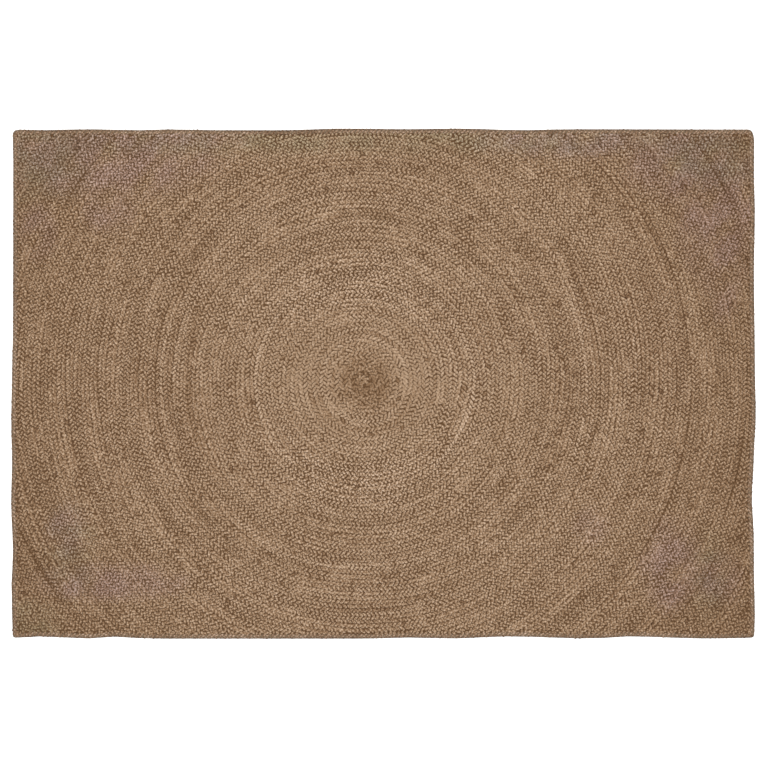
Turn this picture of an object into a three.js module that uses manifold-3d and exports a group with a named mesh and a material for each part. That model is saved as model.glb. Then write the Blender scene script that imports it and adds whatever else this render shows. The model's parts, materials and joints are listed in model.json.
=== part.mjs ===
// Rectangular jute rug. One long flat three-strand braid is wound in a spiral, each turn sewn to the
// one before, and the whole is cut to a rectangle. One more braid is sewn round the cut edge.
// Units are millimetres and +Z is up. The origin is under the middle of the rug, which lies on z = 0.

import * as THREE from 'three';
import { mergeVertices } from 'three/addons/utils/BufferGeometryUtils.js';
import Module from 'manifold-3d';

// Driving dimensions
const rugLength = 2320; // along X, without the unevenness of the edge
const rugWidth = 1590; // along Y
const braidWidth = 25.6; // one turn of the spiral, from seam to seam
const braidThickness = 9; // at the two crowns of a turn
const seamDepth = 3; // how far the seam between two turns lies below their crowns
const middleDepth = 1.5; // how far the middle of the braid lies below its crowns
const edgeBraidWidth = 14;
const edgeBraidThickness = 9.4;
const sewnGap = 0.3; // between the edge braid and the field

// The spiral's middle isn't the middle of the rug
const spiralMiddle = new THREE.Vector2(-62, 6);

// Fineness of the solids
const stepsPerTurn = 28;
const stepsPerSide = 30;
const stepsPerCorner = 5;

const fieldColour = '#92775d';
const edgeColour = '#866b51';
const yarnRoughness = 0.95;

// The top of one turn, as shares of its width from the inner seam. The braid has a crown on each side
// of its middle, where the stitches of its two sides meet.
const turnSection = [
  { across: 0, down: seamDepth },
  { across: 0.25, down: 0 },
  { across: 0.5, down: middleDepth },
  { across: 0.75, down: 0 },
];

// The edge braid's section, as shares of its width from the outer side and of its thickness.
const edgeSection = [
  { across: 0.12, up: 0 },
  { across: 0, up: 0.35 },
  { across: 0.06, up: 0.7 },
  { across: 0.26, up: 0.95 },
  { across: 0.5, up: 1 },
  { across: 0.74, up: 0.95 },
  { across: 0.94, up: 0.7 },
  { across: 1, up: 0.35 },
  { across: 0.88, up: 0 },
];

// The four sides, anticlockwise. A row of wave says how far the edge stands out (or in, below zero)
// in millimetres, at a share of the side's length. startReach and endReach are how far the rounded
// corners reach along the side.
const sides = [
  {
    // the side at -Y
    startReach: 10,
    endReach: 12,
    wave: [
      { at: 0.04, out: -4 },
      { at: 0.1, out: 2.5 },
      { at: 0.13, out: -3.5 },
      { at: 0.19, out: 3 },
      { at: 0.47, out: 3 },
      { at: 0.54, out: -0.5 },
      { at: 0.59, out: 2.5 },
      { at: 0.67, out: -4 },
      { at: 0.78, out: 2.5 },
      { at: 0.83, out: -4 },
      { at: 0.94, out: 2.5 },
    ],
  },
  {
    // the side at +X
    startReach: 12,
    endReach: 43,
    wave: [
      { at: 0.05, out: 2 },
      { at: 0.13, out: -1 },
      { at: 0.2, out: -1.5 },
      { at: 0.275, out: -7.5 },
      { at: 0.36, out: -1 },
      { at: 0.44, out: 5 },
      { at: 0.53, out: 2 },
      { at: 0.72, out: -1 },
      { at: 0.84, out: 2 },
      { at: 0.91, out: -1 },
    ],
  },
  {
    // the side at +Y
    startReach: 19,
    endReach: 26,
    wave: [
      { at: 0.25, out: 1 },
      { at: 0.31, out: -2 },
      { at: 0.4, out: 3 },
      { at: 0.465, out: 1 },
      { at: 0.56, out: 3 },
      { at: 0.63, out: -2 },
      { at: 0.74, out: -2 },
      { at: 0.78, out: 1 },
      { at: 0.83, out: -2 },
      { at: 0.9, out: 1 },
      { at: 0.96, out: -2 },
    ],
  },
  {
    // the side at -X
    startReach: 16,
    endReach: 10,
    wave: [
      { at: 0.06, out: -1.5 },
      { at: 0.39, out: -1 },
      { at: 0.47, out: 2 },
      { at: 0.58, out: 5 },
      { at: 0.65, out: 2 },
      { at: 0.73, out: 5 },
      { at: 0.84, out: -1 },
      { at: 0.89, out: 4 },
      { at: 0.95, out: 2 },
    ],
  },
];

// The tips of the corners, before they are rounded: side k runs from corner k to the next one.
const corners = [
  new THREE.Vector2(-rugLength / 2, -rugWidth / 2),
  new THREE.Vector2(rugLength / 2, -rugWidth / 2),
  new THREE.Vector2(rugLength / 2, rugWidth / 2),
  new THREE.Vector2(-rugLength / 2, rugWidth / 2),
];

// How far a side stands out at a share of its length, smoothly between the rows of its table.
function standsOut(side, share) {
  const rows = [{ at: 0, out: 0 }, ...side.wave, { at: 1, out: 0 }];
  const next = Math.max(1, rows.findIndex((row) => row.at >= share));
  const before = rows[next - 1];
  const after = rows[next];
  const blend = THREE.MathUtils.smoothstep(share, before.at, after.at);
  return THREE.MathUtils.lerp(before.out, after.out, blend);
}

// The points of one side, moved inwards by the inset and clear of its two corners.
function sidePoints(k, inset) {
  const side = sides[k];
  const start = corners[k];
  const end = corners[(k + 1) % corners.length];
  const length = start.distanceTo(end);
  const along = end.clone().sub(start).normalize();
  const outward = new THREE.Vector2(along.y, -along.x);
  const leastReach = inset + 2;
  const from = Math.max(side.startReach, leastReach);
  const to = length - Math.max(side.endReach, leastReach);
  const points = [];
  for (let i = 0; i <= stepsPerSide; i += 1) {
    const distance = THREE.MathUtils.lerp(from, to, i / stepsPerSide);
    const out = standsOut(side, distance / length) - inset;
    points.push(start.clone().addScaledVector(along, distance).addScaledVector(outward, out));
  }
  return points;
}

// The rug's outline, anticlockwise and moved inwards by the inset. It always has the same number of
// points, so the outlines of two insets join point to point.
function outline(inset) {
  const straight = corners.map((_, k) => sidePoints(k, inset));
  return straight.flatMap((points, k) => {
    const following = (k + 1) % corners.length;
    const corner = corners[following];
    const tip = new THREE.Vector2(
      corner.x - Math.sign(corner.x) * inset,
      corner.y - Math.sign(corner.y) * inset,
    );
    const bend = new THREE.QuadraticBezierCurve(points.at(-1), tip, straight[following][0]);
    return [...points, ...bend.getPoints(stepsPerCorner).slice(1, -1)];
  });
}

function geometryOf(vertices, triangles) {
  const geometry = new THREE.BufferGeometry();
  geometry.setAttribute('position', new THREE.Float32BufferAttribute(vertices.flat(), 3));
  geometry.setIndex(triangles.flat());
  return geometry;
}

// A disc of the wound braid: on top each line of the turn's section spirals outwards. Its underside
// lies below z = 0 and its rim past the rug's corners, where the cut trims them off.
function woundBraidGeometry() {
  const furthest = Math.max(...corners.map((corner) => corner.distanceTo(spiralMiddle)));
  const turns = Math.ceil(furthest / braidWidth) + 1;
  const steps = turns * stepsPerTurn;
  const underside = -5;
  const vertices = [];
  const triangles = [];

  function addVertex(x, y, z) {
    return vertices.push([spiralMiddle.x + x, spiralMiddle.y + y, z]) - 1;
  }

  // Every line starts in the middle, some of them before step 0, and winds anticlockwise
  const middle = addVertex(0, 0, braidThickness - middleDepth);
  function spiralPoint(step, { across, down }) {
    const radius = (step / stepsPerTurn + across) * braidWidth;
    if (radius <= 0) return middle;
    const angle = (step / stepsPerTurn) * 2 * Math.PI;
    return addVertex(radius * Math.cos(angle), radius * Math.sin(angle), braidThickness - down);
  }
  const lines = turnSection.map((point, k) => {
    const last = k === 0 ? steps + stepsPerTurn : steps;
    const line = [];
    for (let i = -stepsPerTurn; i <= last; i += 1) line.push(spiralPoint(i, point));
    return line;
  });
  const seam = lines[0];

  function addTriangle(a, b, c) {
    if (a !== b && b !== c && c !== a) triangles.push([a, b, c]);
  }

  // Strips between each line and the next one outwards, which after the last is the seam a turn later
  const end = steps + stepsPerTurn;
  for (let i = 0; i < end; i += 1) {
    lines.forEach((inner, k) => {
      const outer = lines[k + 1] ?? seam.slice(stepsPerTurn);
      addTriangle(inner[i], outer[i], outer[i + 1]);
      addTriangle(inner[i], outer[i + 1], inner[i + 1]);
    });
  }

  // The rim drops to the underside, which is a fan about its own middle
  const endOfBraid = lines.slice(1).map((line) => line[end]);
  const rim = [...seam.slice(end), ...endOfBraid.reverse()];
  const foot = rim.map((index) => {
    const [x, y] = vertices[index];
    return vertices.push([x, y, underside]) - 1;
  });
  const under = addVertex(0, 0, underside);
  rim.forEach((index, k) => {
    const next = (k + 1) % rim.length;
    triangles.push([rim[next], index, foot[k]], [rim[next], foot[k], foot[next]]);
    triangles.push([under, foot[next], foot[k]]);
  });
  return geometryOf(vertices, triangles);
}

const wasm = await Module();
wasm.setup();

function solidOf(geometry) {
  geometry.deleteAttribute('normal');
  geometry.deleteAttribute('uv');
  const merged = mergeVertices(geometry);
  return new wasm.Manifold(
    new wasm.Mesh({
      numProp: 3,
      vertProperties: merged.attributes.position.array,
      triVerts: new Uint32Array(merged.index.array),
    }),
  );
}

// The field: the wound braid, cut to the outline that lies just inside the edge braid.
function braidedField() {
  const cut = new THREE.ExtrudeGeometry(new THREE.Shape(outline(edgeBraidWidth + sewnGap)), {
    depth: 2 * braidThickness,
    bevelEnabled: false,
  });
  const field = solidOf(woundBraidGeometry()).intersect(solidOf(cut)).getMesh();
  const geometry = new THREE.BufferGeometry();
  geometry.setAttribute('position', new THREE.BufferAttribute(field.vertProperties, 3));
  geometry.setIndex(new THREE.BufferAttribute(field.triVerts, 1));
  return geometry;
}

// The edge braid: its section carried round the outline, as one closed loop with a flat underside.
function edgeBraid() {
  const loops = edgeSection.map(({ across, up }) =>
    outline(across * edgeBraidWidth).map(({ x, y }) => [x, y, up * edgeBraidThickness]),
  );
  const around = loops[0].length;
  const triangles = [];
  for (let j = 0; j < loops.length; j += 1) {
    const row = j * around;
    const rowAbove = ((j + 1) % loops.length) * around;
    for (let i = 0; i < around; i += 1) {
      const next = (i + 1) % around;
      triangles.push([row + i, row + next, rowAbove + next]);
      triangles.push([row + i, rowAbove + next, rowAbove + i]);
    }
  }
  return geometryOf(loops.flat(), triangles);
}

function namedMesh(name, geometry, color) {
  geometry.computeVertexNormals();
  const material = new THREE.MeshStandardMaterial({ color, roughness: yarnRoughness, metalness: 0 });
  const mesh = new THREE.Mesh(geometry, material);
  mesh.name = name;
  return mesh;
}

const rug = new THREE.Group();
rug.add(namedMesh('braided_field', braidedField(), fieldColour));
rug.add(namedMesh('edge_braid', edgeBraid(), edgeColour));

export default rug;
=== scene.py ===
import json
import math

import bpy
import numpy as np
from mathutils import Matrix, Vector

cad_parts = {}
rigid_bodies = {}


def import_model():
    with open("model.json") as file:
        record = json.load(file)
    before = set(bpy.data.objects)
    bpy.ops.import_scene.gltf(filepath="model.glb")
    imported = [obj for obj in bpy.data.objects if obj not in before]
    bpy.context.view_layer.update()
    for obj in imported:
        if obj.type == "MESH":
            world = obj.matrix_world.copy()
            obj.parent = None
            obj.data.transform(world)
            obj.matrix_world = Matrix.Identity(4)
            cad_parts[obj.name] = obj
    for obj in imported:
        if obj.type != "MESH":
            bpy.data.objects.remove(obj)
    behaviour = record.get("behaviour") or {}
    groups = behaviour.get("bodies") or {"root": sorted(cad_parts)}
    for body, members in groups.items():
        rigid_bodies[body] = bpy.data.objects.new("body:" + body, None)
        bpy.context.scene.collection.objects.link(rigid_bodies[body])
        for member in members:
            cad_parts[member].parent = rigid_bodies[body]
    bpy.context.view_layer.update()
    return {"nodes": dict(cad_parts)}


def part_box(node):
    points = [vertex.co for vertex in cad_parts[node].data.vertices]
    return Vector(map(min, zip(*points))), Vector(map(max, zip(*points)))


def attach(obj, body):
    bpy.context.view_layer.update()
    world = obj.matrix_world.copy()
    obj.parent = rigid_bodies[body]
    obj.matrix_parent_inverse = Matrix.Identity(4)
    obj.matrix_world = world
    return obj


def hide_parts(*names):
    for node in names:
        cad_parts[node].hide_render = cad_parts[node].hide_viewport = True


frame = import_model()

# A rectangular jute rug, seen from straight above. One flat braid is wound in a spiral and sewn
# to itself, cut to a rectangle, and bound with one more braid round the edge.
# Each visible stitch of the braids is a small twisted bundle of yarn, laid along the braid's run.
# Lengths are in metres and angles in radians, unless a note says otherwise.

fieldLow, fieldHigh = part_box("braided_field")
edgeLow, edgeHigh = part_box("edge_braid")
mm = 0.001


def deselect():
    for thing in bpy.context.selected_objects:
        thing.select_set(False)


def pick(thing):
    deselect()
    thing.select_set(True)
    bpy.context.view_layer.objects.active = thing


def applyAll(thing):
    pick(thing)
    for modifier in list(thing.modifiers):
        bpy.ops.object.modifier_apply(modifier=modifier.name)


def selectPoints(thing, wanted=lambda place: True):
    # Selects the points for which wanted(place) is true, or else all, and goes into edit mode
    pick(thing)
    bpy.ops.object.mode_set(mode="EDIT")
    bpy.ops.mesh.select_mode(type="VERT")
    bpy.ops.mesh.select_all(action="DESELECT")
    bpy.ops.object.mode_set(mode="OBJECT")
    for point in thing.data.vertices:
        point.select = bool(wanted(point.co))
    bpy.ops.object.mode_set(mode="EDIT")


def pointsOf(mesh):
    places = np.zeros(len(mesh.vertices) * 3, np.float32)
    mesh.vertices.foreach_get("co", places)
    return places.reshape(-1, 3).astype(float)


def copyOfNode(node, name, material):
    # A merged copy of a CAD node's mesh, as a new object
    mesh = frame["nodes"][node].data.copy()
    mesh.name = name
    thing = bpy.data.objects.new(name, mesh)
    bpy.context.collection.objects.link(thing)
    selectPoints(thing)
    bpy.ops.mesh.remove_doubles(threshold=0.01 * mm)
    bpy.ops.object.mode_set(mode="OBJECT")
    mesh.materials.clear()
    mesh.materials.append(material)
    return thing


def newMaterial(name, specular):
    material = bpy.data.materials.new(name)
    material.use_nodes = True
    shader = material.node_tree.nodes["Principled BSDF"]
    shader.inputs["Specular IOR Level"].default_value = specular
    return material, shader


# Camera, floor and light

studio = {
    "lens": 85,  # in millimetres, as the sensor is
    "sensor": 36,
    "frameWidth": 2.4005,  # what the square picture takes in at the rug's top
    "aim": (0.0016, -0.0012),  # the photo's middle, which isn't quite the rug's
    "floorSize": 30,
    "floorDrop": 0.5 * mm,  # below the rug's underside
    "floorColour": (0.93, 0.93, 0.93),
    "floorRoughness": 0.9,
    "floorSpecular": 0.1,
    "sky": 0.6,
    "keyPower": 1000,
    "keySize": 5.0,
    "keyPlace": (-1.3, 1.7, 9.0),
    "fillPower": 260,
    "fillSize": 6.0,
    "fillPlace": (2.4, -2.0, 7.0),
}


def makeStudio():
    tangent = studio["sensor"] / 2 / studio["lens"]
    height = studio["frameWidth"] / 2 / tangent
    camera = bpy.data.cameras.new("camera")
    camera.lens = studio["lens"]
    camera.sensor_width = studio["sensor"]
    holder = bpy.data.objects.new("camera", camera)
    holder.location = (studio["aim"][0], studio["aim"][1], fieldHigh[2] + height)
    bpy.context.collection.objects.link(holder)
    bpy.context.scene.camera = holder

    deselect()
    bpy.ops.mesh.primitive_plane_add(size=studio["floorSize"], location=(0, 0, -studio["floorDrop"]))
    floor = bpy.context.object
    floor.name = "floor"
    paint, shader = newMaterial("paleFloor", studio["floorSpecular"])
    shader.inputs["Base Color"].default_value = (*studio["floorColour"], 1)
    shader.inputs["Roughness"].default_value = studio["floorRoughness"]
    floor.data.materials.append(paint)

    for name in ("key", "fill"):
        lamp = bpy.data.lights.new(name, "AREA")
        lamp.energy = studio[name + "Power"]
        lamp.size = studio[name + "Size"]
        stand = bpy.data.objects.new(name, lamp)
        stand.location = studio[name + "Place"]
        stand.rotation_euler = (-stand.location).to_track_quat("-Z", "Y").to_euler()
        bpy.context.collection.objects.link(stand)

    sky = bpy.data.worlds.new("sky")
    sky.use_nodes = True
    background = sky.node_tree.nodes["Background"]
    background.inputs["Color"].default_value = (1, 1, 1, 1)
    background.inputs["Strength"].default_value = studio["sky"]
    bpy.context.scene.world = sky
    bpy.context.scene.view_settings.view_transform = "Standard"
    print("studio ready, camera at height", round(holder.location.z, 3))


# Materials

def sRgb(red, green, blue):
    # A colour as read off a picture, 0 to 255, turned into the linear values that nodes take
    linear = [((v / 255 + 0.055) / 1.055) ** 2.4 if v > 10 else v / 255 / 12.92 for v in (red, green, blue)]
    return (*linear, 1.0)


def newGroup(name, inputs, outputs):
    # A shader node group, with the sockets that it is given and those that it puts out
    group = bpy.data.node_groups.new(name, "ShaderNodeTree")
    for label, kind, value in inputs:
        socket = group.interface.new_socket(label, in_out="INPUT", socket_type="NodeSocket" + kind)
        if value is not None:
            socket.default_value = value
    for label, kind in outputs:
        group.interface.new_socket(label, in_out="OUTPUT", socket_type="NodeSocket" + kind)
    given = group.nodes.new("NodeGroupInput")
    out = group.nodes.new("NodeGroupOutput")
    return group, given.outputs, out.inputs


def addNode(tree, kind, **settings):
    node = tree.nodes.new("ShaderNode" + kind)
    for key, value in settings.items():
        setattr(node, key, value)
    return node


def wire(tree, source, target):
    # source is a socket or a plain value
    if isinstance(source, bpy.types.NodeSocket):
        tree.links.new(source, target)
    else:
        target.default_value = source


def calc(tree, operation, a, b=0.0, c=0.0):
    node = addNode(tree, "Math", operation=operation)
    for value, socket in zip((a, b, c), node.inputs):
        wire(tree, value, socket)
    return node.outputs[0]


def shiftBy(tree, value, amount):
    # A value of 0 to 1 made a shift, from half the amount down to half the amount up
    return calc(tree, "MULTIPLY_ADD", value, amount, -amount / 2)


def separated(tree, vector):
    node = addNode(tree, "SeparateXYZ")
    wire(tree, vector, node.inputs[0])
    return node.outputs


def combined(tree, *values):
    node = addNode(tree, "CombineXYZ")
    for value, socket in zip(values, node.inputs):
        wire(tree, value, socket)
    return node.outputs[0]


def remap(tree, value, fromRange, toRange, smooth=False):
    node = addNode(tree, "MapRange")
    if smooth:
        node.interpolation_type = "SMOOTHSTEP"
    labels = ("Value", "From Min", "From Max", "To Min", "To Max")
    for source, label in zip((value, *fromRange, *toRange), labels):
        wire(tree, source, node.inputs[label])
    return node.outputs["Result"]


def noiseAt(tree, place, scale=1.0, detail=0.0, harshness=0.5):
    node = addNode(tree, "TexNoise")
    node.inputs["Scale"].default_value = scale
    node.inputs["Detail"].default_value = detail
    node.inputs["Roughness"].default_value = harshness
    wire(tree, place, node.inputs["Vector"])
    return node.outputs["Fac"]


def colourRamp(tree, value, stops):
    # stops holds pairs of a place on the ramp and a colour
    node = addNode(tree, "ValToRGB")
    elements = node.color_ramp.elements
    first, *between, last = stops
    elements[0].position, elements[0].color = first
    elements[1].position, elements[1].color = last
    for position, colour in between:
        elements.new(position).color = colour
    wire(tree, value, node.inputs["Fac"])
    return node.outputs["Color"]


def multiplied(tree, colour, by, share=1.0):
    # The colour multiplied by another one, in full or for a share
    node = addNode(tree, "Mix", data_type="RGBA", blend_type="MULTIPLY")
    wire(tree, share, node.inputs["Factor"])
    wire(tree, colour, node.inputs[6])
    wire(tree, by, node.inputs[7])
    return node.outputs[2]


yarn = {
    "colours": [  # from tone 0 to tone 1, evenly apart
        sRgb(73, 50, 31),
        sRgb(111, 85, 60),
        sRgb(154, 131, 108),
        sRgb(184, 162, 143),
        sRgb(206, 188, 172),
    ],
    "seedShift": 61.0,  # millimetres along a stitch that its pattern moves, for a seed of 1
    "twist": 0.32,  # how far the fibres cross the stitch, for each millimetre along it
    "fibreAcross": 1.5,  # fibres to a millimetre, across the yarn and along it
    "fibreAlong": 0.16,
    "fibreDetail": 3.0,
    "fibreHarshness": 0.6,
    "fibreTone": 0.4,  # tone from the darkest fibres to the lightest
    "plyPitch": 1.9,  # millimetres between two plies of the yarn
    "plyWander": 1.6,  # how far the fibres bend the plies
    # painted shade: the plies are darker in the grooves between them
    "plyGrooveShade": 0.10,
    "blotchAlong": 0.12,  # blotches to a millimetre
    "blotchAcross": 0.3,
    "blotchDetail": 1.0,
    "blotchTone": 0.16,
    "fleckSize": 5.6,  # millimetres across a lighter or darker fleck
    "fleckTone": 0.86,
    "roughnessFibres": (0.3, 0.7),  # low and high fibres, between which the roughness changes
    "roughness": (0.92, 0.74),
    "plyHeight": 0.45,  # share of the relief
    "fibreHeight": 0.55,
    "relief": 0.7,
    "reliefDepth": 0.5 * mm,
    "specular": 0.2,
}


def juteYarnGroup():
    # Twisted jute fibres: colour, roughness and height, from millimetres along and across a stitch
    group, given, out = newGroup(
        "juteYarn",
        [
            ("Along", "Vector", None),
            ("Tone", "Float", 0.5),
            ("Tint", "Color", (1.0, 1.0, 1.0, 1.0)),
            ("Seed", "Float", 0.0),
            ("Contrast", "Float", 1.0),
        ],
        [("Color", "Color"), ("Roughness", "Float"), ("Height", "Float")],
    )
    along, across, up = separated(group, given["Along"])
    shifted = calc(group, "MULTIPLY_ADD", given["Seed"], yarn["seedShift"], along)
    twisted = calc(group, "MULTIPLY_ADD", along, yarn["twist"], across)

    fibrePlace = combined(
        group,
        calc(group, "MULTIPLY", shifted, yarn["fibreAlong"]),
        calc(group, "MULTIPLY", twisted, yarn["fibreAcross"]),
        calc(group, "MULTIPLY", up, yarn["fibreAcross"]),
    )
    fibre = noiseAt(group, fibrePlace, detail=yarn["fibreDetail"], harshness=yarn["fibreHarshness"])

    turned = calc(group, "MULTIPLY", twisted, 2 * math.pi / yarn["plyPitch"])
    bent = calc(group, "MULTIPLY_ADD", fibre, yarn["plyWander"], turned)
    ply = calc(group, "MULTIPLY_ADD", calc(group, "SINE", bent), 0.5, 0.5)

    blotchPlace = combined(
        group,
        calc(group, "MULTIPLY", shifted, yarn["blotchAlong"]),
        calc(group, "MULTIPLY", across, yarn["blotchAcross"]),
        given["Seed"],
    )
    blotch = noiseAt(group, blotchPlace, detail=yarn["blotchDetail"])

    fleckPlace = combined(
        group,
        calc(group, "DIVIDE", shifted, yarn["fleckSize"]),
        calc(group, "DIVIDE", across, yarn["fleckSize"]),
    )
    fleck = noiseAt(group, fleckPlace)

    # Tone of this spot: the stitch's own tone, then its fibres, the painted shade in the grooves between
    # its plies, then blotches and flecks
    fibreShift = shiftBy(group, fibre, yarn["fibreTone"])
    plyGrooveShift = shiftBy(group, ply, yarn["plyGrooveShade"])
    blotchShift = shiftBy(group, blotch, yarn["blotchTone"])
    fleckShift = shiftBy(group, fleck, yarn["fleckTone"])
    fine = calc(group, "ADD", fibreShift, plyGrooveShift)
    coarse = calc(group, "ADD", blotchShift, fleckShift)
    detail = calc(group, "ADD", fine, coarse)
    tone = calc(group, "MULTIPLY_ADD", detail, given["Contrast"], given["Tone"])
    last = len(yarn["colours"]) - 1
    stops = [(number / last, colour) for number, colour in enumerate(yarn["colours"])]
    wire(group, multiplied(group, colourRamp(group, tone, stops), given["Tint"]), out["Color"])

    wire(group, remap(group, fibre, yarn["roughnessFibres"], yarn["roughness"]), out["Roughness"])
    fibreHeight = calc(group, "MULTIPLY", fibre, yarn["fibreHeight"])
    wire(group, calc(group, "MULTIPLY_ADD", ply, yarn["plyHeight"], fibreHeight), out["Height"])
    return group


paintedGapShade = {
    "shade": (0.38, 0.27, 0.155, 1.0),  # painted shade: what the colour in the depth between the stitches is multiplied by
    "reach": (0.0 * mm, 2.4 * mm),  # from the middle of the thickness: full shade, and none
}


def gapShadeGroup():
    # Painted shade: darkens the colour in the depth between the stitches
    group, given, out = newGroup(
        "paintedDepthShade",
        [("Color", "Color", (0.5, 0.5, 0.5, 1.0)), ("Share", "Float", 1.0)],
        [("Color", "Color")],
    )
    place = addNode(group, "TexCoord")
    height = separated(group, place.outputs["Object"])[2]
    middle = (fieldLow[2] + fieldHigh[2]) / 2
    fromMiddle = calc(group, "ABSOLUTE", calc(group, "SUBTRACT", height, middle))
    shade = remap(group, fromMiddle, paintedGapShade["reach"], (1.0, 0.0), smooth=True)
    share = calc(group, "MULTIPLY", shade, given["Share"])
    wire(group, multiplied(group, given["Color"], paintedGapShade["shade"], share), out["Color"])
    return group


def addRelief(tree, shader, height, strength):
    bump = addNode(tree, "Bump")
    bump.inputs["Strength"].default_value = strength
    bump.inputs["Distance"].default_value = yarn["reliefDepth"]
    wire(tree, height, bump.inputs["Height"])
    wire(tree, bump.outputs["Normal"], shader.inputs["Normal"])


def juteMaterial(name, yarnGroup, gapShadeNodes):
    # Takes its values from the attributes that each stitch is laid with
    material, shader = newMaterial(name, yarn["specular"])
    tree = material.node_tree
    strand = addNode(tree, "Group", node_tree=yarnGroup)
    # The painted shade in the depth between the stitches
    paintedDepthShade = addNode(tree, "Group", node_tree=gapShadeNodes)
    for attribute, output, target in (
        ("yarn", "Vector", strand.inputs["Along"]),
        ("tone", "Fac", strand.inputs["Tone"]),
        ("tint", "Vector", strand.inputs["Tint"]),
        ("seed", "Fac", strand.inputs["Seed"]),
        ("contrast", "Fac", strand.inputs["Contrast"]),
        ("paintedGapShade", "Fac", paintedDepthShade.inputs["Share"]),
    ):
        value = addNode(tree, "Attribute", attribute_name=attribute)
        wire(tree, value.outputs[output], target)
    wire(tree, strand.outputs["Color"], paintedDepthShade.inputs["Color"])
    wire(tree, paintedDepthShade.outputs["Color"], shader.inputs["Base Color"])
    wire(tree, strand.outputs["Roughness"], shader.inputs["Roughness"])
    addRelief(tree, shader, strand.outputs["Height"], yarn["relief"])
    return material


coreYarn = {
    "inner": (sRgb(50, 31, 13), sRgb(98, 71, 45)),  # dark and light, inside the field's braid, darker than the yarn as painted shade between the stitches
    # the rope inside the edge braid: dark as painted shade along the rim, whose side turns away from the
    # light
    "rim": (sRgb(80, 66, 50), sRgb(106, 90, 72)),
    "stops": (0.3, 0.75),
    "fibreScale": 420.0,
    "fibreDetail": 2.0,
    "relief": 0.6,
    "roughness": 0.95,
}


def coreMaterial(name, colours):
    # The strands inside a braid, seen only between the stitches, in dark colours that are painted shade
    # there
    material, shader = newMaterial(name, yarn["specular"])
    tree = material.node_tree
    place = addNode(tree, "TexCoord").outputs["Object"]
    fibre = noiseAt(tree, place, coreYarn["fibreScale"], coreYarn["fibreDetail"])
    colour = colourRamp(tree, fibre, list(zip(coreYarn["stops"], colours)))
    wire(tree, colour, shader.inputs["Base Color"])
    addRelief(tree, shader, fibre, coreYarn["relief"])
    shader.inputs["Roughness"].default_value = coreYarn["roughness"]
    return material


# The stitches, which both braids are made of

# Four shapes of stitch: how far the front and the back half are shifted aside and how thick they are
stitchShapes = [
    {"frontAside": 0.00, "backAside": 0.00, "front": 1.10, "back": 1.10},  # plain
    {"frontAside": 0.08, "backAside": -0.07, "front": 1.13, "back": 1.05},  # curved
    {"frontAside": -0.05, "backAside": 0.03, "front": 1.20, "back": 0.98},  # full in front
    {"frontAside": 0.03, "backAside": 0.06, "front": 0.98, "back": 1.18},  # full at the back
]

shaping = {
    "from": 0.05,  # the part of each half that takes its shape, in stitch lengths from the middle
    "to": 0.45,
    "longer": 1.06,
    "pressing": 2.5 * mm,  # over which a stitch is rounded where the floor presses it flat
}


def makeStitch(name, shape, values, material):
    # A closed bundle of yarn along X, one unit long and then shaped and scaled to its braid's values
    deselect()
    bpy.ops.mesh.primitive_uv_sphere_add(
        segments=values["sides"],
        ring_count=values["rings"],
        radius=0.5,
        rotation=(math.pi / 2, 0, math.pi / 2),
    )
    stitch = bpy.context.object
    stitch.name = name
    bpy.ops.object.transform_apply(location=True, rotation=True, scale=True)
    for half, sign in (("front", 1), ("back", -1)):
        selectPoints(stitch, lambda place: shaping["from"] < sign * place.x < shaping["to"])
        thick = (shaping["longer"], shape[half], shape[half])
        bpy.ops.transform.resize(value=thick, center_override=(0, 0, 0))
        bpy.ops.transform.translate(value=(0, shape[half + "Aside"], 0))
        bpy.ops.object.mode_set(mode="OBJECT")
    selectPoints(stitch)
    size = (values["stitchLength"], values["stitchWidth"], values["stitchHeight"])
    bpy.ops.transform.resize(value=size, center_override=(0, 0, 0))
    bpy.ops.mesh.normals_make_consistent(inside=False)
    bpy.ops.mesh.faces_shade_smooth()
    bpy.ops.object.mode_set(mode="OBJECT")
    local = stitch.data.attributes.new("yarn", "FLOAT_VECTOR", "POINT")
    local.data.foreach_set("vector", (pointsOf(stitch.data) / mm).ravel())
    stitch.data.materials.append(material)
    return stitch


def makeBasket(name, values, material):
    # One stitch of each shape, in a collection of their own
    basket = bpy.data.collections.new(name)
    bpy.context.scene.collection.children.link(basket)
    for number, shape in enumerate(stitchShapes):
        stitch = makeStitch(f"{name}_{number}", shape, values, material)
        for holder in list(stitch.users_collection):
            holder.objects.unlink(stitch)
        basket.objects.link(stitch)
    return basket


def clearBasket(basket):
    for stitch in list(basket.objects):
        bpy.data.objects.remove(stitch, do_unlink=True)
    bpy.data.collections.remove(basket)


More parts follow.
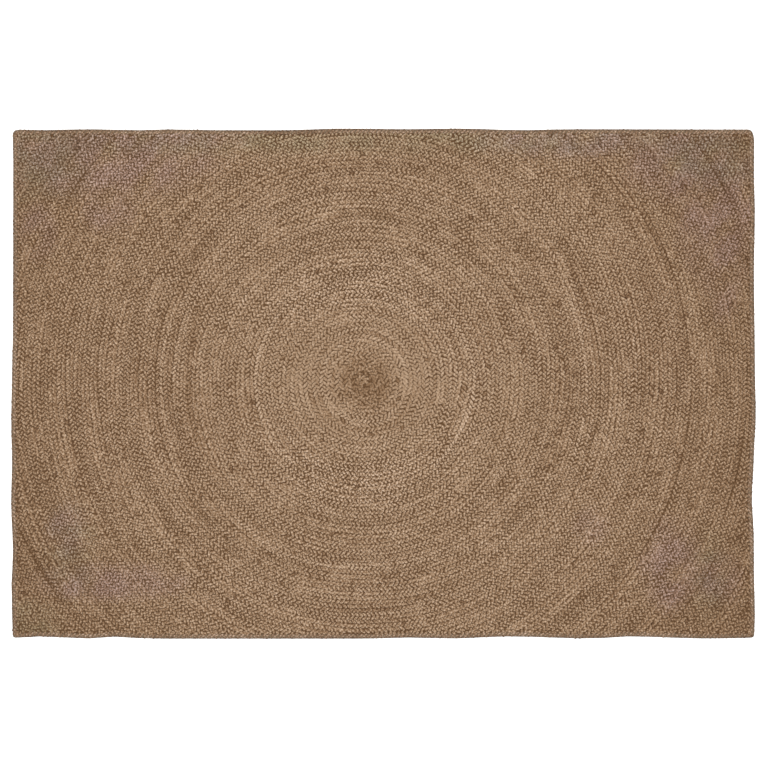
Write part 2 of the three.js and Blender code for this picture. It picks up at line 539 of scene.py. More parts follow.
def layingTree(basket):
    # Sets a stitch of the basket on each point, turned and sized by the point's own values
    tree = bpy.data.node_groups.new("layStitches", "GeometryNodeTree")
    tree.interface.new_socket("Geometry", in_out="INPUT", socket_type="NodeSocketGeometry")
    tree.interface.new_socket("Geometry", in_out="OUTPUT", socket_type="NodeSocketGeometry")
    given = tree.nodes.new("NodeGroupInput")
    out = tree.nodes.new("NodeGroupOutput")
    info = tree.nodes.new("GeometryNodeCollectionInfo")
    info.inputs["Collection"].default_value = basket
    info.inputs["Separate Children"].default_value = True
    info.inputs["Reset Children"].default_value = True
    lay = tree.nodes.new("GeometryNodeInstanceOnPoints")
    lay.inputs["Pick Instance"].default_value = True
    realize = tree.nodes.new("GeometryNodeRealizeInstances")
    links = tree.links
    links.new(given.outputs[0], lay.inputs["Points"])
    links.new(info.outputs[0], lay.inputs["Instance"])
    for name, kind, socket in (
        ("kind", "INT", "Instance Index"),
        ("turn", "FLOAT_VECTOR", "Rotation"),
        ("size", "FLOAT_VECTOR", "Scale"),
    ):
        value = tree.nodes.new("GeometryNodeInputNamedAttribute")
        value.data_type = kind
        value.inputs["Name"].default_value = name
        source = value.outputs["Attribute"]
        if socket == "Rotation":
            euler = tree.nodes.new("FunctionNodeEulerToRotation")
            links.new(source, euler.inputs[0])
            source = euler.outputs[0]
        links.new(source, lay.inputs[socket])
    links.new(lay.outputs[0], realize.inputs[0])

    # What would dip into the floor, at height 0, is pressed flat
    place = tree.nodes.new("GeometryNodeInputPosition")
    x, y, z = separated(tree, place.outputs[0])
    pressed = calc(tree, "SMOOTH_MAX", z, 0.0, shaping["pressing"])
    move = tree.nodes.new("GeometryNodeSetPosition")
    links.new(realize.outputs[0], move.inputs["Geometry"])
    links.new(combined(tree, x, y, pressed), move.inputs["Position"])
    links.new(move.outputs[0], out.inputs[0])
    return tree


def layStitches(name, places, tree):
    # places holds an array for each value of a stitch, by name
    mesh = bpy.data.meshes.new(name)
    mesh.from_pydata(places["place"].tolist(), [], [])
    for label, kind in (
        ("turn", "FLOAT_VECTOR"),
        ("size", "FLOAT_VECTOR"),
        ("kind", "INT"),
        ("tone", "FLOAT"),
        ("tint", "FLOAT_VECTOR"),
        ("seed", "FLOAT"),
        ("contrast", "FLOAT"),
        ("paintedGapShade", "FLOAT"),
    ):
        attribute = mesh.attributes.new(label, kind, "POINT")
        slot = "vector" if kind == "FLOAT_VECTOR" else "value"
        attribute.data.foreach_set(slot, places[label].ravel())
    piece = bpy.data.objects.new(name, mesh)
    bpy.context.collection.objects.link(piece)
    modifier = piece.modifiers.new("layStitches", "NODES")
    modifier.node_group = tree
    applyAll(piece)
    for label in ("turn", "size", "kind"):
        if label in piece.data.attributes:
            piece.data.attributes.remove(piece.data.attributes[label])
    print(name, len(places["place"]), "stitches,", len(piece.data.polygons), "faces")
    return piece


# Unevenness

def drift(distance, step, rng):
    # A value that wanders slowly along a length, with a new level at each step
    knots = rng.normal(0, 1, int(distance.max() / step) + 3)
    return np.interp(distance / step, np.arange(len(knots)), knots)


def sideDrift(distance, side, step, rng):
    # The same, wandering apart on the two sides of the braid
    return np.where(side > 0, drift(distance, step, rng), drift(distance, step, rng))


def wander(x, y, size, rng):
    # A value that wanders slowly over the rug, in patches of about that size
    total = np.zeros_like(x)
    waves = 7
    lengths = (0.7, 1.6)  # of the waves, for a size of 1
    for heading, phase in zip(rng.uniform(0, math.pi, waves), rng.uniform(0, 2 * math.pi, waves)):
        length = size * rng.uniform(*lengths)
        total += np.sin(2 * math.pi * (x * math.cos(heading) + y * math.sin(heading)) / length + phase)
    return total / math.sqrt(waves / 2)


# The braid round the edge

edge = {
    "width": 14.0 * mm,
    "stitchPitch": 13.2 * mm,
    "pitchJitter": 0.045,  # share of the pitch
    "runReach": 6 * mm,  # ahead and back along the edge, to tell which way it runs
    "lean": 32,  # degrees between an inner stitch and the edge
    "outerLean": 18,  # degrees
    "leanJitter": 4,  # degrees
    "outerAside": 3.0 * mm,  # from the braid's crown line
    "innerAside": -2.9 * mm,
    "asideJitter": 0.2 * mm,
    "stitchLength": 16.8 * mm,
    "stitchWidth": 7.0 * mm,
    "stitchHeight": 8.4 * mm,
    "sides": 8,  # of a stitch's section
    "rings": 6,
    "sizeJitter": 0.06,
    "sizeLimits": (0.85, 1.12),
    "heightLimits": (0.9, 1.03),
    "outerWidth": 0.86,  # share of an inner stitch's width
    "roll": 20,  # degrees that the outer stitches turn down over the rim
    "rollJitter": 0.12,
    "diveJitter": 0.06,
    "lift": 0.2 * mm,
    "innerLift": 0.5 * mm,  # what the inner stitches are lifted more
    "tone": 0.285,
    "toneEach": 0.035,  # from one stitch to the next
    "toneAlong": 0.03,
    "toneLength": 0.15,
    # painted shade: the outer stitches turn down over the rim, away from the light
    "outerPaintedShade": 0.12,
    "outerTint": (0.92, 1.0, 1.2),
    "innerTint": (0.99, 1.0, 1.09),
    "ropeHeight": 0.38,  # of the rope inside the stitches, as a share of the solid's
    "ropeLift": 3.5 * mm,
    "seed": 5,
}


def edgeLoop():
    # The line along the crown of the edge braid, from its CAD solid, as ordered points
    places = pointsOf(frame["nodes"]["edge_braid"].data)
    nearTop = 0.1 * mm
    crown = places[places[:, 2] > edgeHigh[2] - nearTop]
    crown = np.unique(np.round(crown, 5), axis=0)  # the corners of several faces lie on one point
    order = [0]
    left = set(range(1, len(crown)))
    while left:
        nearest = min(left, key=lambda i: float(((crown[i] - crown[order[-1]]) ** 2).sum()))
        order.append(nearest)
        left.remove(nearest)
    loop = crown[order][:, :2]
    area = 0.5 * np.sum(loop[:, 0] * np.roll(loop[:, 1], -1) - loop[:, 1] * np.roll(loop[:, 0], -1))
    return loop if area > 0 else loop[::-1]


def edgePlaces(loop):
    # The stitches of the edge braid, in an outer and an inner row along the loop
    rng = np.random.default_rng(edge["seed"])
    closed = np.vstack([loop, loop[:1]])
    lengths = np.concatenate([[0], np.cumsum(np.linalg.norm(np.diff(closed, axis=0), axis=1))])
    pairs = round(lengths[-1] / edge["stitchPitch"])
    number = np.arange(2 * pairs)
    count = len(number)
    side = np.where(number % 2 == 0, 1.0, -1.0)
    outer = side > 0
    distance = (number / 2 + 0.25) * lengths[-1] / pairs
    distance = distance + rng.normal(0, edge["pitchJitter"] * edge["stitchPitch"], count)
    distance = distance % lengths[-1]

    def along(value):
        value = value % lengths[-1]
        return np.stack([np.interp(value, lengths, closed[:, k]) for k in (0, 1)], axis=1)

    ahead = along(distance + edge["runReach"])
    back = along(distance - edge["runReach"])
    run = ahead - back
    run /= np.linalg.norm(run, axis=1)[:, None]
    outward = np.stack([run[:, 1], -run[:, 0]], axis=1)
    centre = (ahead + back + 2 * along(distance)) / 4
    aside = np.where(outer, edge["outerAside"], edge["innerAside"])
    aside = aside + rng.normal(0, edge["asideJitter"], count)
    lean = np.where(outer, edge["outerLean"], edge["lean"]) + rng.normal(0, edge["leanJitter"], count)
    heading = np.arctan2(run[:, 1], run[:, 0]) - side * np.radians(lean)

    size = np.clip(rng.normal(1, edge["sizeJitter"], (count, 3)), *edge["sizeLimits"])
    size[:, 1] *= np.where(outer, edge["outerWidth"], 1)
    size[:, 2] = np.clip(size[:, 2], *edge["heightLimits"])
    roll = np.where(outer, math.radians(edge["roll"]), 0) + rng.normal(0, edge["rollJitter"], count)
    dive = rng.normal(0, edge["diveJitter"], count)
    z = size[:, 2] * edge["stitchHeight"] / 2 + edge["lift"] + np.where(outer, 0, edge["innerLift"])
    tone = edge["tone"] + edge["toneEach"] * rng.normal(0, 1, count)
    tone += edge["toneAlong"] * drift(distance, edge["toneLength"], rng)
    # painted shade on the outer stitches, which turn down over the rim
    tone -= np.where(outer, edge["outerPaintedShade"], 0)
    return {
        "place": np.column_stack([centre + outward * aside[:, None], z]),
        "turn": np.stack([roll, dive, heading], axis=1),
        "size": size,
        "kind": rng.integers(0, len(stitchShapes), count),
        "tone": tone,
        "tint": np.where(outer[:, None], edge["outerTint"], edge["innerTint"]),
        "seed": rng.random(count),
        "contrast": np.ones(count),
        "paintedGapShade": np.ones(count),
    }


def makeEdge(loop, stitchMaterial, ropeShadeMaterial):
    basket = makeBasket("edgeStitch", edge, stitchMaterial)
    stitches = layStitches("edge_braid_stitches", edgePlaces(loop), layingTree(basket))
    clearBasket(basket)
    rope = copyOfNode("edge_braid", "edge_core", ropeShadeMaterial)
    selectPoints(rope)
    bpy.ops.transform.resize(value=(1, 1, edge["ropeHeight"]), center_override=(0, 0, 0))
    bpy.ops.transform.translate(value=(0, 0, edge["ropeLift"]))
    bpy.ops.mesh.faces_shade_smooth()
    bpy.ops.object.mode_set(mode="OBJECT")
    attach(stitches, "root")
    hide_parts("edge_braid")
    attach(rope, "root")
    return [stitches, rope]


# The braid of the field

braid = {
    "middle": (-0.062, 0.006),  # where the spiral starts
    "turnWidth": 25.6 * mm,  # from one seam to the next
    "samples": 240,  # points to a turn of the spiral
    "pitches": (13.1 * mm, 13.0 * mm),  # between two stitches of one side, inside and far out
    "pitchReach": (0.2, 0.75),  # radius up to which the first holds, and from which the second does
    "alongDrift": 4.5 * mm,  # how far stitches bunch up or spread out along the braid
    "driftLength": 0.08,
    "alongJitter": 0.6 * mm,
    "rowJitter": 0.3 * mm,
    "outOfRound": 1.6 * mm,
    "outOfRoundSize": 0.35,
    "lean": 39,  # degrees between a stitch and the braid's run
    "leanJitter": 5,  # degrees
    "dive": 6,  # degrees that a stitch dips towards the braid's middle
    "diveJitter": 0.05,
    "rollJitter": 0.14,
    "stitchLength": 22.0 * mm,
    "stitchWidth": 10.5 * mm,
    "stitchHeight": 8.6 * mm,
    "sides": 6,  # of a stitch's section
    "rings": 4,
    "lift": 0.15 * mm,  # off the floor, give or take as much
    "pieces": 5,
    "seed": 11,
}

# Length, width and height of the field's stitches, as shares of the braid's own. Stitches are bigger
# in a wide row, and thinner where the braid is pulled tight.
sizeChanges = [
    {"mean": 1.0, "jitter": 0.05, "wideRow": 1.2, "tight": 0.0, "limits": (0.7, 1.3)},
    {"mean": 1.0, "jitter": 0.05, "wideRow": 0.4, "tight": 0.02, "limits": (0.75, 1.2)},
    {"mean": 0.98, "jitter": 0.05, "wideRow": 0.0, "tight": 0.02, "limits": (0.82, 1.06)},
]
tightLength = 0.22  # along the braid, over which it gets tighter or looser

# Wide and narrow rows
rows = {
    "change": 0.10,  # share by which a row is wider or narrower
    "waves": 9,
    "lengths": (45 * mm, 160 * mm),  # over which the width changes to and fro
    "mostRound": 9,  # waves on the way round the middle
    "mostPhase": 6,
    "fade": 0.06,  # radius up to which the change grows to its full share
}

# Arcs where the rug shows a band or a seam: radius and spread in metres, angles in degrees
# anticlockwise from +X, tone lighter above zero, and gap how far a seam stands open. Along an open seam
# the darker tone is painted shade in the seam; elsewhere it is the yarn's own tone.
arcs = [
    {"radius": 0.0, "spread": 0.010, "from": -180, "to": 180, "tone": -0.06, "gap": 0.0},
    {"radius": 0.025, "spread": 0.012, "from": -180, "to": 180, "tone": -0.145, "gap": 0.0},
    {"radius": 0.062, "spread": 0.028, "from": -180, "to": 180, "tone": -0.08, "gap": 0.0},
    {"radius": 0.134, "spread": 0.008, "from": -180, "to": 180, "tone": 0.04, "gap": 0.0},
    {"radius": 0.152, "spread": 0.008, "from": -180, "to": 180, "tone": -0.04, "gap": 0.0},
    {"radius": 0.336, "spread": 0.007, "from": -48, "to": 48, "tone": 0.09, "gap": 0.0},
    {"radius": 0.336, "spread": 0.007, "from": 132, "to": 228, "tone": 0.08, "gap": 0.0},
    {"radius": 0.452, "spread": 0.006, "from": 62, "to": 118, "tone": -0.07, "gap": 0.001},
    {"radius": 0.452, "spread": 0.006, "from": -118, "to": -62, "tone": -0.07, "gap": 0.001},
    {"radius": 0.528, "spread": 0.014, "from": 78, "to": 100, "tone": -0.07, "gap": 0.0},
    {"radius": 0.505, "spread": 0.010, "from": -98, "to": -80, "tone": -0.06, "gap": 0.0},
    {"radius": 0.583, "spread": 0.006, "from": 62, "to": 122, "tone": 0.085, "gap": 0.0},
    {"radius": 0.584, "spread": 0.006, "from": -132, "to": -48, "tone": 0.075, "gap": 0.0},
    {"radius": 0.641, "spread": 0.020, "from": -26, "to": 26, "tone": -0.06, "gap": 0.0},
    {"radius": 0.572, "spread": 0.012, "from": -30, "to": 30, "tone": -0.04, "gap": 0.0},
    {"radius": 0.697, "spread": 0.007, "from": -24, "to": 24, "tone": 0.06, "gap": 0.0},
    {"radius": 0.738, "spread": 0.006, "from": -30, "to": 30, "tone": -0.06, "gap": 0.001},
    {"radius": 0.546, "spread": 0.014, "from": 160, "to": 200, "tone": -0.07, "gap": 0.0},
    {"radius": 0.607, "spread": 0.006, "from": 158, "to": 200, "tone": -0.06, "gap": 0.001},
    {"radius": 0.632, "spread": 0.006, "from": 160, "to": 198, "tone": 0.05, "gap": 0.0},
    {"radius": 0.655, "spread": 0.006, "from": 158, "to": 204, "tone": -0.07, "gap": 0.0015},
    {"radius": 0.715, "spread": 0.007, "from": -98, "to": -80, "tone": -0.08, "gap": 0.0015},
    {"radius": 0.655, "spread": 0.030, "from": 136, "to": 148, "tone": -0.06, "gap": 0.0},
    {"radius": 0.655, "spread": 0.030, "from": 212, "to": 223, "tone": -0.06, "gap": 0.0},
    {"radius": 0.640, "spread": 0.030, "from": 34, "to": 44, "tone": -0.05, "gap": 0.0},
    {"radius": 0.640, "spread": 0.030, "from": -44, "to": -34, "tone": -0.05, "gap": 0.0},
    {"radius": 0.834, "spread": 0.006, "from": 165, "to": 198, "tone": -0.04, "gap": 0.001},
    {"radius": 0.940, "spread": 0.006, "from": 164, "to": 195, "tone": -0.04, "gap": 0.001},
    {"radius": 0.990, "spread": 0.005, "from": 30, "to": 51, "tone": -0.05, "gap": 0.001},
    {"radius": 1.019, "spread": 0.005, "from": 5, "to": 32, "tone": -0.07, "gap": 0.002},
    {"radius": 0.980, "spread": 0.005, "from": -5, "to": 5, "tone": -0.07, "gap": 0.002},
    {"radius": 1.021, "spread": 0.005, "from": -31, "to": -5, "tone": -0.08, "gap": 0.003},
    {"radius": 0.962, "spread": 0.010, "from": -49, "to": -42, "tone": -0.07, "gap": 0.002},
    {"radius": 1.246, "spread": 0.005, "from": 10, "to": 22, "tone": -0.07, "gap": 0.0015},
    {"radius": 1.288, "spread": 0.008, "from": 24, "to": 36, "tone": -0.07, "gap": 0.0015},
    {"radius": 1.198, "spread": 0.005, "from": -19, "to": -6, "tone": -0.08, "gap": 0.003},
    {"radius": 1.228, "spread": 0.008, "from": -37, "to": -27, "tone": -0.08, "gap": 0.0025},
    {"radius": 1.083, "spread": 0.008, "from": 140, "to": 149, "tone": -0.08, "gap": 0.0025},
    {"radius": 1.162, "spread": 0.008, "from": 202, "to": 214, "tone": -0.08, "gap": 0.0025},
]
arcFade = 6  # degrees over which an arc fades at its ends
seamPull = 2.5  # turns of the braid on each side that give way to an open seam

tones = {
    "level": 0.334,
    "each": 0.018,  # from one stitch to the next
    "darkShare": 0.007,  # of the stitches are of darker yarn
    "darker": 0.16,
    "along": 0.017,  # along a hand's breadth of the braid
    "alongLength": 0.18,
    "run": 0.006,  # along a longer run
    "runLength": 0.5,
    "patch": 0.004,  # in patches over the rug
    "patchSize": 0.25,
    "inner": 0.65,  # radius up to which the rug is a little lighter
    "innerLight": 0.045,
    "outer": 0.85,  # radius from which it darkens
    "outerReach": 0.6,
    "outerDark": 0.095,  # how much darker the far corners are
    "left": -0.3,  # from here it darkens towards the left end
    "leftReach": 0.5,
    "leftDark": 0.01,
}

# Patches where the yarn has greyed: the middle and the reach both ways, in metres
mauve = (0.995, 1.0, 1.25)
olive = (0.90, 1.0, 0.99)
patches = [
    {"x": -0.90, "y": 0.71, "wide": 0.31, "high": 0.11, "share": 1.0, "tint": mauve},
    {"x": -0.60, "y": 0.77, "wide": 0.15, "high": 0.04, "share": 0.9, "tint": mauve},
    {"x": -1.08, "y": 0.48, "wide": 0.05, "high": 0.08, "share": 0.7, "tint": mauve},
    {"x": -0.86, "y": 0.54, "wide": 0.07, "high": 0.06, "share": 0.7, "tint": mauve},
    {"x": 0.60, "y": 0.76, "wide": 0.28, "high": 0.045, "share": 0.9, "tint": mauve},
    {"x": 0.94, "y": 0.70, "wide": 0.16, "high": 0.11, "share": 1.0, "tint": mauve},
    {"x": 1.06, "y": 0.55, "wide": 0.12, "high": 0.20, "share": 1.0, "tint": mauve},
    {"x": 1.06, "y": 0.28, "wide": 0.05, "high": 0.08, "share": 0.5, "tint": mauve},
    {"x": -0.99, "y": -0.46, "wide": 0.06, "high": 0.08, "share": 0.7, "tint": mauve},
    {"x": -0.86, "y": -0.62, "wide": 0.19, "high": 0.05, "share": 1.0, "tint": mauve},
    {"x": 0.65, "y": -0.45, "wide": 0.05, "high": 0.05, "share": 0.5, "tint": mauve},
    {"x": 0.90, "y": -0.57, "wide": 0.08, "high": 0.12, "share": 1.0, "tint": mauve},
    {"x": 1.05, "y": -0.61, "wide": 0.06, "high": 0.07, "share": 0.9, "tint": mauve},
    {"x": -1.09, "y": 0.72, "wide": 0.15, "high": 0.13, "share": 1.0, "tint": olive},
    {"x": -0.40, "y": 0.77, "wide": 0.60, "high": 0.05, "share": 0.8, "tint": olive},
    {"x": 0.40, "y": 0.77, "wide": 0.50, "high": 0.05, "share": 0.8, "tint": olive},
    {"x": 1.02, "y": 0.72, "wide": 0.15, "high": 0.09, "share": 1.0, "tint": olive},
    {"x": -0.98, "y": -0.52, "wide": 0.07, "high": 0.13, "share": 0.6, "tint": olive},
    {"x": -1.11, "y": -0.75, "wide": 0.09, "high": 0.06, "share": 0.9, "tint": olive},
    {"x": 1.02, "y": -0.60, "wide": 0.05, "high": 0.12, "share": 0.6, "tint": olive},
]
greying = {
    "middle": 1.6,  # at the middle of a patch, where all above 1 is full
    "fall": 1.1,  # what is lost from there to its reach
    "mean": 0.85,  # the patches are ragged, and have this share of their tint on average
    "ragged": 0.3,
    "raggedSize": 0.09,
}

# How strongly the fibres and the painted shade in the gaps show. Each share holds up to the first radius
# of its reach and has grown to 1 at the second, but the far one is 1 at the first and holds from the second
# on.
wearAndGapShade = {
    "fibres": 0.52,  # the middle of the rug is worn smoother
    # the painted shade in the gaps is weaker in the middle too
    "paintedGapShade": 0.2,
    "reach": (0.19, 0.29),
    "endwise": 0.81,  # towards the ends of the rug
    "endwiseReach": (0.45, 0.62),
    "sidewise": 1.38,
    "sidewiseReach": (0.33, 0.44),
    "far": 0.94,
    "farReach": (1.0, 1.2),
}

# What becomes of stitches near the edge braid, by the room between its side and their middle
trim = {
    "leftOut": -3.5 * mm,  # those with less are left out
    "leastRoom": 2.6 * mm,  # those with less are pushed inwards
    "tuckedUnder": 3.2 * mm,  # how far their ends reach under the edge braid
    "halfWidth": 0.45,  # of a stitch's width
    "leastAlong": 0.05,  # for a stitch that lies along the edge
    "shortest": 0.42,
}


def insideBy(points, loop):
    # How far each point lies inside the loop, below zero outside it, and the way inwards
    best = np.full(len(points), np.inf)
    nearest = np.zeros_like(points)
    inside = np.zeros(len(points), bool)
    for a, b in zip(loop, np.roll(loop, -1, axis=0)):
        step = b - a
        share = np.clip(((points - a) @ step) / (step @ step), 0, 1)
        foot = a + share[:, None] * step
        apart = np.linalg.norm(points - foot, axis=1)
        nearest[apart < best] = foot[apart < best]
        best = np.minimum(best, apart)
        crosses = (a[1] > points[:, 1]) != (b[1] > points[:, 1])
        with np.errstate(divide="ignore", invalid="ignore"):
            where = a[0] + (points[:, 1] - a[1]) / (b[1] - a[1]) * (b[0] - a[0])
        inside ^= crosses & (points[:, 0] < where)
    sign = np.where(inside, 1.0, -1.0)
    onTheLoop = 0.001 * mm  # closer than this there is no way inwards
    inwards = sign[:, None] * (points - nearest) / np.maximum(best, onTheLoop)[:, None]
    return sign * best, inwards


def trimAtEdge(x, y, heading, loop):
    # Stitches at the edge braid are pushed in and cut short, and those past it are left out
    inside, inwards = insideBy(np.stack([x, y], axis=1), loop)
    room = inside - edge["width"] / 2
    keep = room > trim["leftOut"]
    push = np.maximum(trim["leastRoom"] - room, 0)
    x, y = x + push * inwards[:, 0], y + push * inwards[:, 1]
    room = room + push + trim["tuckedUnder"]
    along = np.abs(np.cos(heading) * inwards[:, 0] + np.sin(heading) * inwards[:, 1])
    across = np.sqrt(1 - along**2)
    reach = room - across * trim["halfWidth"] * braid["stitchWidth"]
    reach = reach / np.maximum(along, trim["leastAlong"])
    short = np.clip(reach / (braid["stitchLength"] / 2), trim["shortest"], 1)
    return x, y, short, keep


def arcShare(radius, degrees, arc):
    # How much of an arc's effect a stitch takes: full on its line, fading to its sides and ends
    if arc["to"] - arc["from"] >= 360:
        within = np.ones_like(degrees)
    else:
        half = (arc["to"] - arc["from"]) / 2
        off = (degrees - (arc["from"] + half) + 180) % 360 - 180
        within = np.clip((half - np.abs(off)) / arcFade + 0.5, 0, 1)
    return within * np.exp(-(((radius - arc["radius"]) / arc["spread"]) ** 2))


def bandsAndSeams(radius, degrees):
    # The tone that the arcs give each stitch, and its radius once the open seams have moved it
    width = braid["turnWidth"]
    turned = degrees / 360 % 1
    tone = np.full_like(radius, tones["level"])
    for arc in arcs:
        tone += arc["tone"] * arcShare(radius, degrees, arc)
        if arc["gap"]:
            near = arcShare(radius, degrees, {**arc, "spread": seamPull * width})
            seam = width * np.round(arc["radius"] / width - turned) + width * turned
            radius = radius + np.sign(radius - seam) * near * arc["gap"] / 2
    return tone, radius


def rowWidths(radius, angle, rng):
    # How far rows are shifted outwards where others are wider or narrower, and how much wider they are
    shift = np.zeros_like(radius)
    stretch = np.zeros_like(radius)
    share = rows["change"] / math.sqrt(rows["waves"] / 2)
    for _ in range(rows["waves"]):
        length = rng.uniform(*rows["lengths"])
        phase = 2 * math.pi * radius / length
        phase = phase + rng.integers(-rows["mostRound"], rows["mostRound"] + 1) * angle
        phase = phase + rng.uniform(0, rows["mostPhase"])
        shift += share * length / (2 * math.pi) * np.sin(phase)
        stretch += share * np.cos(phase)
    fade = np.clip(radius / rows["fade"], 0, 1)
    return shift * fade, stretch * fade


def changeTones(tone, x, y, radius, distance, side, rng):
    # Adds what differs by chance, along the braid and over the rug
    tone += tones["each"] * rng.normal(0, 1, len(tone))
    tone -= np.where(rng.random(len(tone)) < tones["darkShare"], tones["darker"], 0)
    tone += tones["along"] * sideDrift(distance, side, tones["alongLength"], rng)
    tone += tones["run"] * sideDrift(distance, side, tones["runLength"], rng)
    tone += tones["patch"] * wander(x, y, tones["patchSize"], rng)
    tone += tones["innerLight"] * np.clip(1 - radius / tones["inner"], 0, 1)
    tone -= tones["outerDark"] * np.clip((radius - tones["outer"]) / tones["outerReach"], 0, 1)
    tone -= tones["leftDark"] * np.clip((tones["left"] - x) / tones["leftReach"], 0, 1)


def tintAt(x, y, rng):
    # What a stitch's colour is multiplied by, from the patches
    tint = np.ones((len(x), 3))
    for greyed in (mauve, olive):
        share = np.zeros_like(x)
        for patch in (patch for patch in patches if patch["tint"] == greyed):
            apart = np.hypot((x - patch["x"]) / patch["wide"], (y - patch["y"]) / patch["high"])
            within = np.clip(greying["middle"] - greying["fall"] * apart, 0, 1)
            share = np.maximum(share, patch["share"] * within)
        ragged = greying["mean"] + greying["ragged"] * wander(x, y, greying["raggedSize"], rng)
        share = np.clip(share * ragged, 0, 1)
        tint *= 1 + share[:, None] * (np.array(greyed) - 1)
    return tint


def contrastAt(radius, angle, least):
    # How strongly a stitch's fibres or the painted shade in its gaps show, from its place round the middle
    middle = np.interp(radius, wearAndGapShade["reach"], (least, 1))
    endwise = np.interp(radius, wearAndGapShade["endwiseReach"], (wearAndGapShade["endwise"], 1))
    sidewise = np.interp(radius, wearAndGapShade["sidewiseReach"], (wearAndGapShade["sidewise"], 1))
    far = np.interp(radius, wearAndGapShade["farReach"], (1, wearAndGapShade["far"]))
    towardsEnds = np.cos(angle) ** 2
    return far * middle * (endwise * towardsEnds + sidewise * (1 - towardsEnds))


def stitchSizes(distance, stretch, rng):
    tight = drift(distance, tightLength, rng)
    sizes = []
    for change in sizeChanges:
        size = rng.normal(change["mean"], change["jitter"], len(distance))
        size = size + change["wideRow"] * stretch - change["tight"] * tight
        sizes.append(np.clip(size, *change["limits"]))
    return np.stack(sizes, axis=1)


def spiralRadius(angle):
    # From the spiral's start to the braid's middle line, where it has wound by that angle
    return braid["turnWidth"] * (angle / (2 * math.pi) + 0.5)


def windSpiral(furthest):
    # Angles along the braid's middle line, with its length and the stitches of one side up to there
    turns = furthest / braid["turnWidth"] + 1
    angles = np.linspace(-math.pi, 2 * math.pi * turns, int(turns * braid["samples"]))
    radii = spiralRadius(angles)
    steps = np.hypot(np.diff(radii), (radii[1:] + radii[:-1]) / 2 * np.diff(angles))
    pitches = np.interp(radii[1:], braid["pitchReach"], braid["pitches"])
    lengths = np.concatenate([[0], np.cumsum(steps)])
    stitches = np.concatenate([[0], np.cumsum(steps / pitches)])
    return angles, lengths, stitches


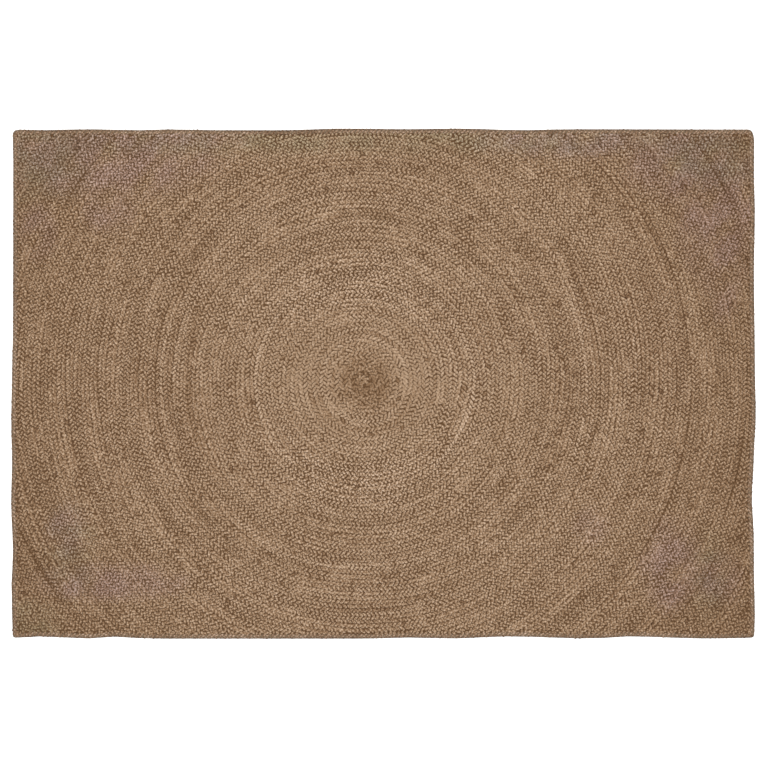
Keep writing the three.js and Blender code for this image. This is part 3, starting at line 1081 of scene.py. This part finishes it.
def braidPlaces(loop):
    # The stitches of the spiral, in two rows half a stitch apart
    rng = np.random.default_rng(braid["seed"])
    middle = np.array(braid["middle"])
    angles, lengths, stitches = windSpiral(max(np.linalg.norm(loop - middle, axis=1)))
    number = np.arange(2 * int(stitches[-1]))
    count = len(number)
    side = np.where(number % 2 == 0, 1.0, -1.0)
    distance = np.interp(number / 2 + 0.25, stitches, lengths)
    distance = distance + braid["alongDrift"] * drift(distance, braid["driftLength"], rng)
    distance = np.clip(distance + rng.normal(0, braid["alongJitter"], count), 0, lengths[-1])
    angle = np.interp(distance, lengths, angles)
    rowRadius = spiralRadius(angle)
    radius = np.abs(rowRadius + side * braid["turnWidth"] / 4 + rng.normal(0, braid["rowJitter"], count))
    tone, radius = bandsAndSeams(radius, np.degrees(angle))

    # Some rows are wide and some narrow, and their circles aren't quite round
    shift, stretch = rowWidths(radius, angle, rng)
    x = middle[0] + (radius + shift) * np.cos(angle)
    y = middle[1] + (radius + shift) * np.sin(angle)
    shift = braid["outOfRound"] * wander(x, y, braid["outOfRoundSize"], rng)
    x, y = x + shift * np.cos(angle), y + shift * np.sin(angle)
    changeTones(tone, x, y, rowRadius, distance, side, rng)

    lean = math.radians(braid["lean"]) + rng.normal(0, math.radians(braid["leanJitter"]), count)
    heading = angle + math.pi / 2 - side * lean
    x, y, short, keep = trimAtEdge(x, y, heading, loop)
    size = stitchSizes(distance, stretch, rng)
    size[:, 0] *= short
    roll = rng.normal(0, braid["rollJitter"], count)
    dive = -side * math.radians(braid["dive"]) + rng.normal(0, braid["diveJitter"], count)
    z = size[:, 2] * braid["stitchHeight"] / 2 + np.abs(rng.normal(braid["lift"], braid["lift"], count))
    places = {
        "place": np.stack([x, y, z], axis=1),
        "turn": np.stack([roll, dive, heading], axis=1),
        "size": size,
        "kind": rng.integers(0, len(stitchShapes), count),
        "tone": tone,
        "tint": tintAt(x, y, rng),
        "seed": rng.random(count),
        "contrast": contrastAt(rowRadius, angle, wearAndGapShade["fibres"]),
        "paintedGapShade": contrastAt(rowRadius, angle, wearAndGapShade["paintedGapShade"]),
    }
    return {label: values[keep] for label, values in places.items()}


def makeField(loop, material):
    basket = makeBasket("stitch", braid, material)
    tree = layingTree(basket)
    places = braidPlaces(loop)
    share = math.ceil(len(places["place"]) / braid["pieces"])
    pieces = []
    for number in range(braid["pieces"]):
        part = slice(number * share, (number + 1) * share)
        partPlaces = {label: values[part] for label, values in places.items()}
        piece = layStitches(f"braid_run_{number + 1}", partPlaces, tree)
        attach(piece, "root")
        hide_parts("braided_field")
        pieces.append(piece)
    clearBasket(basket)
    return pieces


# The inner layer: a thin sheet for the strands that cross inside the braid, between the upper and lower
# stitches, dark as painted shade in the gaps

core = {
    "height": 0.15,  # share of the solid's height
    "lift": 3.5 * mm,
    "spread": 3.0 * mm,  # how far it reaches under the edge braid
}


def makeCore(material):
    inner = copyOfNode("braided_field", "inner_strands", material)
    selectPoints(inner)
    grow = [1 + core["spread"] / (fieldHigh[k] - fieldLow[k]) * 2 for k in (0, 1)]
    bpy.ops.transform.resize(value=(*grow, core["height"]), center_override=(0, 0, 0))
    bpy.ops.transform.translate(value=(0, 0, core["lift"]))
    bpy.ops.mesh.faces_shade_flat()
    bpy.ops.object.mode_set(mode="OBJECT")
    return inner


makeStudio()
yarnGroup = juteYarnGroup()
# Painted shade between the stitches
gapShadeNodes = gapShadeGroup()
fieldJute = juteMaterial("fieldJute", yarnGroup, gapShadeNodes)
edgeJute = juteMaterial("edgeJute", yarnGroup, gapShadeNodes)
# The inner strands are dark as painted shade between the stitches
innerShadeYarn = coreMaterial("innerShadeYarn", coreYarn["inner"])
# Painted shade along the rim
rimYarn = coreMaterial("rimYarn", coreYarn["rim"])
print("materials ready")

loop = edgeLoop()
print("edge line of", len(loop), "points")
edgePieces = makeEdge(loop, edgeJute, rimYarn)
fieldPieces = makeField(loop, fieldJute)
innerLayer = makeCore(innerShadeYarn)
print("inner layer ready")
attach(innerLayer, "root")
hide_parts("braided_field")
